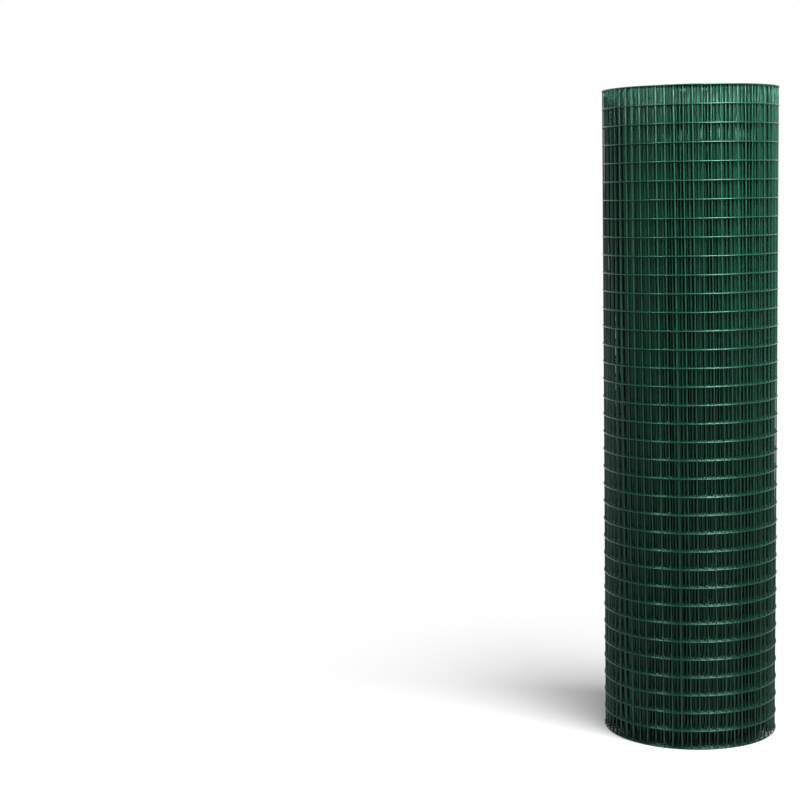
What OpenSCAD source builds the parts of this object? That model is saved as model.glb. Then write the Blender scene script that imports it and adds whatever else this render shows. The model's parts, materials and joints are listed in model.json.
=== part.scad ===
// Roll of welded wire mesh fencing, wound on itself and standing on its end.
// The wound stock is one turned solid with an open bore. The line wires of the
// outer turn are hoops round it, and each turn's selvedge wire is a ring on both ends.

/* [Mesh] */
// Height of one cell, from one line wire to the next
cell_h = 25.4; // [10:0.1:100]
// Number of cells over the height of the mesh
cell_rows = 36; // [4:1:60]
// Diameter of the wire over its coating
wire_d = 1.4; // [1:0.05:4]
// Depth that a line wire is set into the cross wires at the welds
weld_set = 0.15; // [0.05:0.01:0.4]
// Width of the flat along each selvedge wire, where the cross wires are sheared off flush
selvedge_flat = 0.6; // [0.2:0.05:0.7]

/* [Roll] */
// Diameter of the open bore
bore_d = 65; // [40:1:300]
// Number of turns wound on each other
turns = 30; // [3:1:50]
// Play between one turn and the next, as the springy mesh is never wound quite tight
turn_play = 0.44; // [0:0.02:2]

/* [Hidden] */
// Smoothness of the roll, and the sides that a wire is drawn with
roll_fn = 120;
wire_sides = 8;
wire_r = wire_d / 2;
bore_r = bore_d / 2;
// One turn is a line wire welded to a cross wire, and its play
turn_pitch = 2 * wire_d - weld_set + turn_play;
outer_r = bore_r + turns * turn_pitch;
// The outer turn's cross wires make the roll's wall, and its line wires stand proud of it
wall_r = outer_r - wire_d + weld_set;
// Height of a selvedge wire's centre above the plane of its flat
selvedge_z = wire_r - selvedge_flat / 2 * tan(180 / wire_sides);
roll_h = cell_rows * cell_h + 2 * selvedge_z;

// Radius of a turn's line wires, counted from 1 at the bore
function turn_r(turn) = bore_r + turn * turn_pitch - wire_r;

// Height of a line wire, counted from 0 at the foot
function row_z(row) = selvedge_z + row * cell_h;

// One line wire, cut across
module wire_section(r, z) {
    translate([r, z]) circle(d = wire_d, $fn = wire_sides);
}

// Half section of the wound turns, from the bore to the outer cross wires
module wound_section() {
    translate([bore_r, row_z(0)]) square([wall_r - bore_r, cell_rows * cell_h]);
}

// Half section of the hoops round the outer turn
module hoop_sections() {
    for (row = [1 : cell_rows - 1])
        wire_section(turn_r(turns), row_z(row));
}

// Half section of the selvedge wires, where every turn shows on both ends
module selvedge_sections() {
    intersection() {
        for (row = [0, cell_rows], turn = [1 : turns])
            wire_section(turn_r(turn), row_z(row));
        translate([bore_r, 0]) square([outer_r - bore_r, roll_h]);
    }
}

module mesh_roll() {
    color([0.07, 0.24, 0.18])
        rotate_extrude($fn = roll_fn) {
            wound_section();
            hoop_sections();
            selvedge_sections();
        }
}

mesh_roll();
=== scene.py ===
"""Roll of green coated welded wire mesh fencing, wound on itself and standing on its end.

Every line wire and cross wire of every turn follows the spiral that the frame's bore and
outside diameter give. Sizes are in metres. Angles are round the roll's axis from +X, so the
front of the roll is at -90 degrees.
"""

import json
import math

import bpy
import numpy as np
from mathutils import Matrix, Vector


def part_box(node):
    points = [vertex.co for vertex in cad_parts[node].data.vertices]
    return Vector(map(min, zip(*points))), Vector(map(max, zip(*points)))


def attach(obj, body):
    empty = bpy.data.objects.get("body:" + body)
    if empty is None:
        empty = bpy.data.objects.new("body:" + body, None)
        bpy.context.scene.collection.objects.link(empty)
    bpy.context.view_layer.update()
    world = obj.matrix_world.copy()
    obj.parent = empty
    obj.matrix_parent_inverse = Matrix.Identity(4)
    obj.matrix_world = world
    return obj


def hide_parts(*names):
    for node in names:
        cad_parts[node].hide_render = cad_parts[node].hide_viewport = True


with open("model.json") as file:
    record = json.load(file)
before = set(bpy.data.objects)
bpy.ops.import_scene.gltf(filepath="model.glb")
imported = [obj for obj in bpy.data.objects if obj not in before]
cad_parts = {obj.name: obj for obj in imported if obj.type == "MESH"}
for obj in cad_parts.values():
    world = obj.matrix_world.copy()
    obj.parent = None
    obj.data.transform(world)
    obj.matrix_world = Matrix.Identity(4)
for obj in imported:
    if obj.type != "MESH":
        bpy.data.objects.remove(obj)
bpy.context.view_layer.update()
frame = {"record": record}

# The line wires
# Drawn steel wires that run the length of the sheet, one at each cell row. Wound up, each is
# one long spiral, and those of the outer turn stand proud of the roll as hoops.
cell_w = 0.0127
cell_h = 0.0254
wire_r = 0.0007
turns = 30
# The sheet's free end is at the back of the roll, and the turns run outward to it.
tail_angle = math.radians(101)

roll_low, roll_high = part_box("mesh_roll")
bore = next(mount for mount in frame["record"]["mounts"] if mount["kind"] == "bore")
bore_r = bore["dims"]["r_mm"] / 1000
outer_r = (roll_high.x - roll_low.x) / 2
# The bore is as long as the sheet is high, from its lowest line wire to its highest.
sheet_h = bore["dims"]["length_mm"] / 1000
cell_rows = round(sheet_h / cell_h)
turn_pitch = (outer_r - bore_r) / turns
# The last turns are pulled tighter than the middle ones, and those at the bore lie looser.
pull = 0.00011

draws = np.random.default_rng(seed=12)


def line_radius(turn):
    """Radius of the line wires where the sheet has wound this many turns outward."""
    return bore_r - wire_r + turn_pitch * turn + pull * turn * (1 - turn / turns)


def length_at(turn):
    """Length of sheet wound up to this turn, along the spiral."""
    spread = (turn_pitch + pull) * turn**2 / 2 - pull * turn**3 / (3 * turns)
    return 2 * math.pi * ((bore_r - wire_r) * turn + spread)


steps_per_turn = 100
wound_turns = np.linspace(0, turns, steps_per_turn * turns + 1)


def turn_at(length):
    """The turn that this length of sheet has reached."""
    return np.interp(length, length_at(wound_turns), wound_turns)


def angle_at(length):
    """Angle round the roll that this length of sheet has reached."""
    return tail_angle + 2 * math.pi * (turn_at(length) - turns)


# The sheet starts one turn out, so that its wires stay clear of the bore.
inner_turn = 1
sheet_end = length_at(turns)


def waver(spacing, size):
    """A course that strays at random along the sheet, as bent wire does from knot to knot."""
    knots = np.arange(0, sheet_end + spacing, spacing)
    strays = draws.normal(0, size, knots.size)
    return lambda length: np.interp(length, knots, strays)


# The sheet was never quite flat: it swells and rides up a little as it winds.
swell = waver(spacing=0.09, size=0.00012)
ride_up = waver(spacing=0.16, size=0.00018)

# Moss green plastic is fused on over the zinc, about 0.2 mm thick. It is glossy, a little
# uneven in colour, and has a faint orange peel.
moss_green = (0.0028, 0.0335, 0.0176, 1)
pale_green = (0.0045, 0.048, 0.0266, 1)
glint_green = (0.5, 1.0, 0.8, 1)

coating = bpy.data.materials.new("green_plastic_coating")
coating.use_nodes = True
nodes = coating.node_tree.nodes
links = coating.node_tree.links
plastic = nodes["Principled BSDF"]
plastic.inputs["Specular IOR Level"].default_value = 0.57
plastic.inputs["Specular Tint"].default_value = glint_green
place = nodes.new("ShaderNodeTexCoord")
shade = nodes.new("ShaderNodeTexNoise")
shade.inputs["Scale"].default_value = 90
shade.inputs["Detail"].default_value = 4
tint = nodes.new("ShaderNodeValToRGB")
tint.color_ramp.elements[0].position = 0.35
tint.color_ramp.elements[0].color = moss_green
tint.color_ramp.elements[1].position = 0.75
tint.color_ramp.elements[1].color = pale_green
gloss = nodes.new("ShaderNodeMapRange")
gloss.inputs["To Min"].default_value = 0.15
gloss.inputs["To Max"].default_value = 0.24
peel = nodes.new("ShaderNodeTexNoise")
peel.inputs["Scale"].default_value = 1400
dimple = nodes.new("ShaderNodeBump")
dimple.inputs["Strength"].default_value = 0.05
dimple.inputs["Distance"].default_value = 0.00005
links.new(place.outputs["Object"], shade.inputs["Vector"])
links.new(place.outputs["Object"], peel.inputs["Vector"])
links.new(shade.outputs["Fac"], tint.inputs["Fac"])
links.new(tint.outputs["Color"], plastic.inputs["Base Color"])
links.new(shade.outputs["Fac"], gloss.inputs["Value"])
links.new(gloss.outputs["Result"], plastic.inputs["Roughness"])
links.new(peel.outputs["Fac"], dimple.inputs["Height"])
links.new(dimple.outputs["Normal"], plastic.inputs["Normal"])


def add_coated(name, corners, faces):
    """Adds a mesh in its coating, as part of what stands for the roll."""
    mesh = bpy.data.meshes.new(name)
    mesh.from_pydata(corners.tolist(), [], faces)
    mesh.shade_smooth()
    mesh.materials.append(coating)
    piece = bpy.data.objects.new(name, mesh)
    bpy.context.scene.collection.objects.link(piece)
    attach(piece, "root")
    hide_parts("mesh_roll")


def add_wires(name, paths, outward, across, sides):
    """Adds closed wires along paths of wires by points by 3, with rings set out along two vectors."""
    wires, points, _ = paths.shape
    around = 2 * math.pi * np.arange(sides) / sides
    ring_out = np.cos(around)[:, None] * outward[:, :, None, :]
    ring_across = np.sin(around)[:, None] * across[:, :, None, :]
    # The ring's corners stand out so that its section is as large as that of the round wire.
    ring_r = wire_r * math.sqrt(2 * math.pi / (sides * math.sin(2 * math.pi / sides)))
    corners = paths[:, :, None, :] + ring_r * (ring_out + ring_across)
    index = np.arange(wires * points * sides).reshape(wires, points, sides)
    turned = np.roll(index, -1, axis=2)
    walls = np.stack([index[:, :-1], turned[:, :-1], turned[:, 1:], index[:, 1:]], axis=-1)
    ends = np.concatenate([index[:, 0, ::-1], index[:, -1]])
    add_coated(name, corners.reshape(-1, 3), walls.reshape(-1, 4).tolist() + ends.tolist())


upward = np.array([0.0, 0.0, 1.0])


def line_wires(name, first_turn, last_turn, rows, step, sides):
    """The line wires of these rows from one turn to another, with a ring at about each step."""
    count = math.ceil((length_at(last_turn) - length_at(first_turn)) / step) + 1
    along = np.linspace(length_at(first_turn), length_at(last_turn), count)
    angle = angle_at(along)
    radius = line_radius(turn_at(along)) + swell(along)
    paths = []
    for row in rows:
        sag = waver(spacing=2 * cell_w, size=0.00008)
        height = wire_r + row * cell_h + np.abs(ride_up(along) + sag(along))
        paths.append(np.stack([radius * np.cos(angle), radius * np.sin(angle), height], axis=-1))
    paths = np.array(paths)
    outward = np.stack([np.cos(angle), np.sin(angle), 0 * angle], axis=-1)
    outward = np.broadcast_to(outward, paths.shape)
    across = np.broadcast_to(upward, paths.shape)
    add_wires(name, paths, outward, across, sides)


# The turns that can be seen close to are drawn rounder than those between them.
outer_from = turns - 2
under_from = turns - 6
bore_to = 5
every_row = range(cell_rows + 1)
inner_rows = range(1, cell_rows)
end_rows = (0, cell_rows)
line_wires("line_wires_outer", outer_from, turns, every_row, step=cell_w / 2, sides=8)
line_wires("line_wires_under", under_from, outer_from, inner_rows, step=cell_w, sides=6)
line_wires("line_wires_middle", bore_to, under_from, inner_rows, step=2 * cell_w, sides=4)
line_wires("line_wires_bore", inner_turn, bore_to, inner_rows, step=cell_w / 2, sides=6)
line_wires("line_wires_ends", inner_turn, outer_from, end_rows, step=cell_w / 2, sides=8)

# The cross wires
# Short straight wires of the same steel, welded across the line wires at each cell width and
# sheared off flush with the outer line wires at both edges of the sheet. The sheet has racked
# a little in winding, so all lean to one side.
racking = 0.0119
# The line wires end in a short stub past the last cross wire.
stub = 0.004
# Each cross wire is a little off its place, bowed in about one wave, and kinked at its welds.
weld_stray = 0.00022
bow = 0.00045
bow_waves = (0.5, 1.5)
kink = 0.00006
# They lie inside the line wires, and the two are set into each other a little at the welds.
weld_set = 0.00015
weld_gap = 2 * wire_r - weld_set

sheet_start = length_at(inner_turn)
foot_z = (roll_low.z + roll_high.z - sheet_h) / 2


def cross_wires(name, first_turn, last_turn, steps, sides):
    """The cross wires from one turn to another, in this many steps over their length."""
    along = np.arange(sheet_end - stub, sheet_start, -cell_w)
    along = along[(along >= length_at(first_turn)) & (along < length_at(last_turn))]
    count = along.size
    heights = wire_r + np.linspace(0, sheet_h, steps + 1)
    # The sheared ends are level with the ends of the roll.
    heights[[0, -1]] = roll_low.z, roll_high.z
    share = (heights - foot_z) / sheet_h
    radius = (line_radius(turn_at(along)) + swell(along) - weld_gap)[:, None]
    stray = draws.normal(0, weld_stray, (count, 1))
    swing = draws.uniform(*bow_waves, (count, 1)) * share + draws.uniform(0, 1, (count, 1))
    stray = stray + draws.normal(0, bow, (count, 1)) * np.sin(2 * math.pi * swing)
    stray = stray + draws.normal(0, kink, (count, steps + 1))
    angle = angle_at(along)[:, None] + (stray + racking * (0.5 - share)) / radius
    paths = np.stack([radius * np.cos(angle), radius * np.sin(angle), 0 * angle + heights], axis=-1)
    outward = np.stack([np.cos(angle), np.sin(angle), 0 * angle], axis=-1)
    across = np.stack([-np.sin(angle), np.cos(angle), 0 * angle], axis=-1)
    add_wires(name, paths, outward, across, sides)
    return paths, outward, across


outer_course = cross_wires("cross_wires_outer", outer_from, turns, steps=2 * cell_rows, sides=8)
cross_wires("cross_wires_under", under_from, outer_from, steps=cell_rows, sides=6)
cross_wires("cross_wires_middle", bore_to, under_from, steps=cell_rows // 3, sides=4)
cross_wires("cross_wires_bore", inner_turn, bore_to, steps=cell_rows, sides=6)

# The welds
# Each crossing is fused through by its weld, and the coating runs together in the four corners
# as a small thin web. Only those of the two outer turns are seen closely enough to need one.
web_r = 1.6 * wire_r
web_thick = 0.0003
web_sides = 8

# Every second point on an outer cross wire lies at a line wire, and the edges have no web.
paths, outward, across = [course[:, 2:-2:2].reshape(-1, 1, 3) for course in outer_course]
middles = paths + outward * weld_gap / 2
around = 2 * math.pi * (np.arange(web_sides) + 0.5) / web_sides
rims = middles + web_r * (np.cos(around)[:, None] * across + np.sin(around)[:, None] * upward)
tips = outward * web_thick
corners = np.concatenate([rims, middles + tips, middles - tips], axis=1)
first = (web_sides + 2) * np.arange(len(corners))[:, None]
rim = np.arange(web_sides)
next_rim = np.roll(rim, -1)
outer_tip = np.full(web_sides, web_sides)
inner_tip = outer_tip + 1
outer_faces = np.stack([first + rim, first + next_rim, first + outer_tip], axis=-1)
inner_faces = np.stack([first + next_rim, first + rim, first + inner_tip], axis=-1)
faces = np.concatenate([outer_faces, inner_faces], axis=1).reshape(-1, 3)
add_coated("weld_webs", corners.reshape(-1, 3), faces.tolist())

# The floor and the light
# A plain pale paper floor that fades into a white surround, under a dim ceiling. Two soft boxes
# stand close to the upper part of the roll at the front, and three larger ones hang high.
floor_size = 8.0
# The floor is plain round the foot of the roll, and white further out.
floor_near = 0.13
floor_far = 0.8
pale_grey = (0.80, 0.80, 0.80, 1)
dark_grey = (0.10, 0.10, 0.10, 1)

floor_mesh = bpy.data.meshes.new("floor")
half = floor_size / 2
floor_corners = [(-half, -half, 0), (half, -half, 0), (half, half, 0), (-half, half, 0)]
floor_mesh.from_pydata(floor_corners, [], [(0, 1, 2, 3)])
floor = bpy.data.objects.new("floor", floor_mesh)
bpy.context.scene.collection.objects.link(floor)


def seen_directly(tree):
    """1 for what the camera sees, straight or in a shiny or clear surface, and else 0."""
    path = tree.nodes.new("ShaderNodeLightPath")
    shiny = tree.nodes.new("ShaderNodeMath")
    shiny.operation = "MAXIMUM"
    seen = tree.nodes.new("ShaderNodeMath")
    seen.operation = "MAXIMUM"
    tree.links.new(path.outputs["Is Camera Ray"], shiny.inputs[0])
    tree.links.new(path.outputs["Is Glossy Ray"], shiny.inputs[1])
    tree.links.new(shiny.outputs["Value"], seen.inputs[0])
    tree.links.new(path.outputs["Is Transmission Ray"], seen.inputs[1])
    return seen.outputs["Value"]


paper = bpy.data.materials.new("floor_paper")
paper.use_nodes = True
floor_mesh.materials.append(paper)
nodes = paper.node_tree.nodes
links = paper.node_tree.links
pale = nodes["Principled BSDF"]
pale.inputs["Base Color"].default_value = pale_grey
pale.inputs["Roughness"].default_value = 0.9
pale.inputs["Specular IOR Level"].default_value = 0
dark = nodes.new("ShaderNodeBsdfDiffuse")
dark.inputs["Color"].default_value = dark_grey
white = nodes.new("ShaderNodeEmission")
place = nodes.new("ShaderNodeTexCoord")
reach = nodes.new("ShaderNodeVectorMath")
reach.operation = "LENGTH"
fade = nodes.new("ShaderNodeMapRange")
fade.interpolation_type = "SMOOTHSTEP"
fade.inputs["From Min"].default_value = floor_near
fade.inputs["From Max"].default_value = floor_far
blend = nodes.new("ShaderNodeMixShader")
choice = nodes.new("ShaderNodeMixShader")
links.new(place.outputs["Object"], reach.inputs[0])
links.new(reach.outputs["Value"], fade.inputs["Value"])
links.new(fade.outputs["Result"], blend.inputs["Fac"])
links.new(pale.outputs["BSDF"], blend.inputs[1])
links.new(white.outputs["Emission"], blend.inputs[2])
links.new(seen_directly(paper.node_tree), choice.inputs["Fac"])
links.new(dark.outputs["BSDF"], choice.inputs[1])
links.new(blend.outputs["Shader"], choice.inputs[2])
links.new(choice.outputs["Shader"], nodes["Material Output"].inputs["Surface"])

# The surround is white up to a little above eye level.
white_up_to = math.sin(math.radians(15))
dim_from = math.sin(math.radians(35))
ceiling_grey = (0.04, 0.042, 0.045, 1)
world = bpy.data.worlds.new("surround")
bpy.context.scene.world = world
world.use_nodes = True
nodes = world.node_tree.nodes
links = world.node_tree.links
surround = nodes["Background"]
place = nodes.new("ShaderNodeTexCoord")
direction = nodes.new("ShaderNodeSeparateXYZ")
ceiling = nodes.new("ShaderNodeMapRange")
ceiling.interpolation_type = "SMOOTHSTEP"
ceiling.inputs["From Min"].default_value = white_up_to
ceiling.inputs["From Max"].default_value = dim_from
ceiling.inputs["To Min"].default_value = 1
ceiling.inputs["To Max"].default_value = 0
white_share = nodes.new("ShaderNodeMath")
white_share.operation = "MULTIPLY"
sky = nodes.new("ShaderNodeMix")
sky.data_type = "RGBA"
sky.inputs["A"].default_value = ceiling_grey
sky.inputs["B"].default_value = (1, 1, 1, 1)
links.new(place.outputs["Generated"], direction.inputs["Vector"])
links.new(direction.outputs["Z"], ceiling.inputs["Value"])
links.new(ceiling.outputs["Result"], white_share.inputs[0])
links.new(seen_directly(world.node_tree), white_share.inputs[1])
links.new(white_share.outputs["Value"], sky.inputs["Factor"])
links.new(sky.outputs["Result"], surround.inputs["Color"])


def soft_box(name, stand, size, power, aim_z, spread=180):
    """An area light turned to the roll's axis at a height, aim_z.

    Its stand is an azimuth from the front to the right in degrees, a distance and a height.
    """
    azimuth, distance, height = stand
    lamp = bpy.data.lights.new(name, "AREA")
    lamp.shape = "RECTANGLE"
    lamp.size, lamp.size_y = size
    lamp.energy = power
    lamp.spread = math.radians(spread)
    box = bpy.data.objects.new(name, lamp)
    box.visible_camera = False
    bpy.context.scene.collection.objects.link(box)
    turned = math.radians(azimuth)
    tilt = math.atan2(height - aim_z, distance)
    box.matrix_world = (
        Matrix.Translation((distance * math.sin(turned), -distance * math.cos(turned), height))
        @ Matrix.Rotation(turned, 4, "Z")
        @ Matrix.Rotation(math.pi / 2 - tilt, 4, "X")
    )


soft_box("front_box", stand=(15, 0.75, 1.05), size=(0.30, 0.25), power=3.0, aim_z=0.88, spread=90)
soft_box("right_box", stand=(33, 0.75, 1.30), size=(0.40, 0.30), power=3.5, aim_z=0.85, spread=90)
soft_box("right_high_box", stand=(57, 2.2, 3.5), size=(1.50, 1.80), power=127, aim_z=0.5)
soft_box("front_high_box", stand=(14, 2.2, 3.5), size=(2.00, 1.80), power=90, aim_z=0.5)
soft_box("left_high_box", stand=(-67, 2.2, 3.5), size=(0.50, 1.80), power=70, aim_z=0.5)

# The camera
# A long lens a little lower than the top of the roll, looking slightly down. It is set as in the
# photograph, so the roll stands right of the lens axis.
focal_px = 1716.9
frame_px = 800
lens_at = (-0.414, -2.440, 0.7783 + foot_z)
# Both angles are in radians.
look_down = 0.11985
lean = -0.01997

camera_data = bpy.data.cameras.new("camera")
camera_data.sensor_width = 36
camera_data.lens = camera_data.sensor_width * focal_px / frame_px
camera = bpy.data.objects.new("camera", camera_data)
bpy.context.scene.collection.objects.link(camera)
camera.matrix_world = (
    Matrix.Translation(lens_at)
    @ Matrix.Rotation(math.pi / 2 - look_down, 4, "X")
    @ Matrix.Rotation(lean, 4, "Z")
)
bpy.context.scene.camera = camera
bpy.context.scene.view_settings.view_transform = "Standard"
